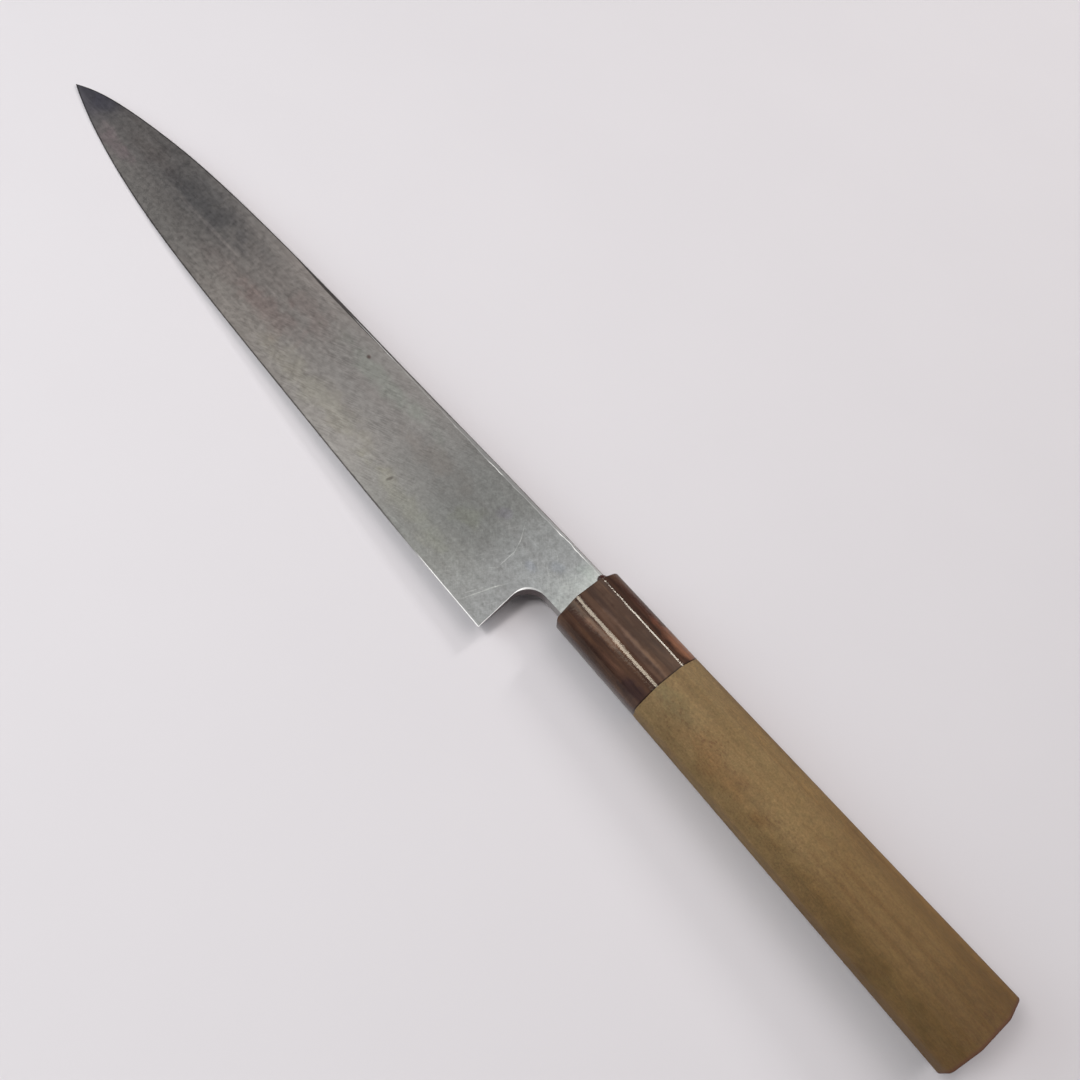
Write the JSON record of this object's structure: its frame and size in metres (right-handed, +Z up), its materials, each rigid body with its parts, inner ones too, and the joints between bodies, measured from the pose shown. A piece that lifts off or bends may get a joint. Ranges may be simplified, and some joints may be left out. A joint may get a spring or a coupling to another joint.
{
  "type": "kitchen knife",
  "caption": "Long slender single-bevel slicing knife: hollow-ground blade of hard steel welded to soft iron, leaning heel, horn ferrule and tapered octagonal wooden handle.",
  "frame": {"origin": "middle of the knife's box in plan, at the level that its handle lies on", "axes": "+X from the blade's tip to the butt along the handle's axis, +Y from the cutting edge to the spine, +Z up, out of the hollow-ground back"},
  "size_m": [0.3885, 0.0399, 0.0197],
  "materials": {
    "hard_steel": "ground back with a brown-grey patina and bright rims",
    "soft_iron": "ground flat and bevel, mottled grey neck",
    "horn": "polished dark brown horn with amber streaks",
    "handle_wood": "worn olive-brown wood, oiled and slightly glossy",
    "resin": "dark red-brown resin"
  },
  "bodies": {
    "root": {"blade_hard_steel": "hard_steel", "blade_soft_iron": "soft_iron", "horn_ferrule": "horn", "wood_handle": "handle_wood", "tang_resin": "resin"}
  },
  "joints": []
}
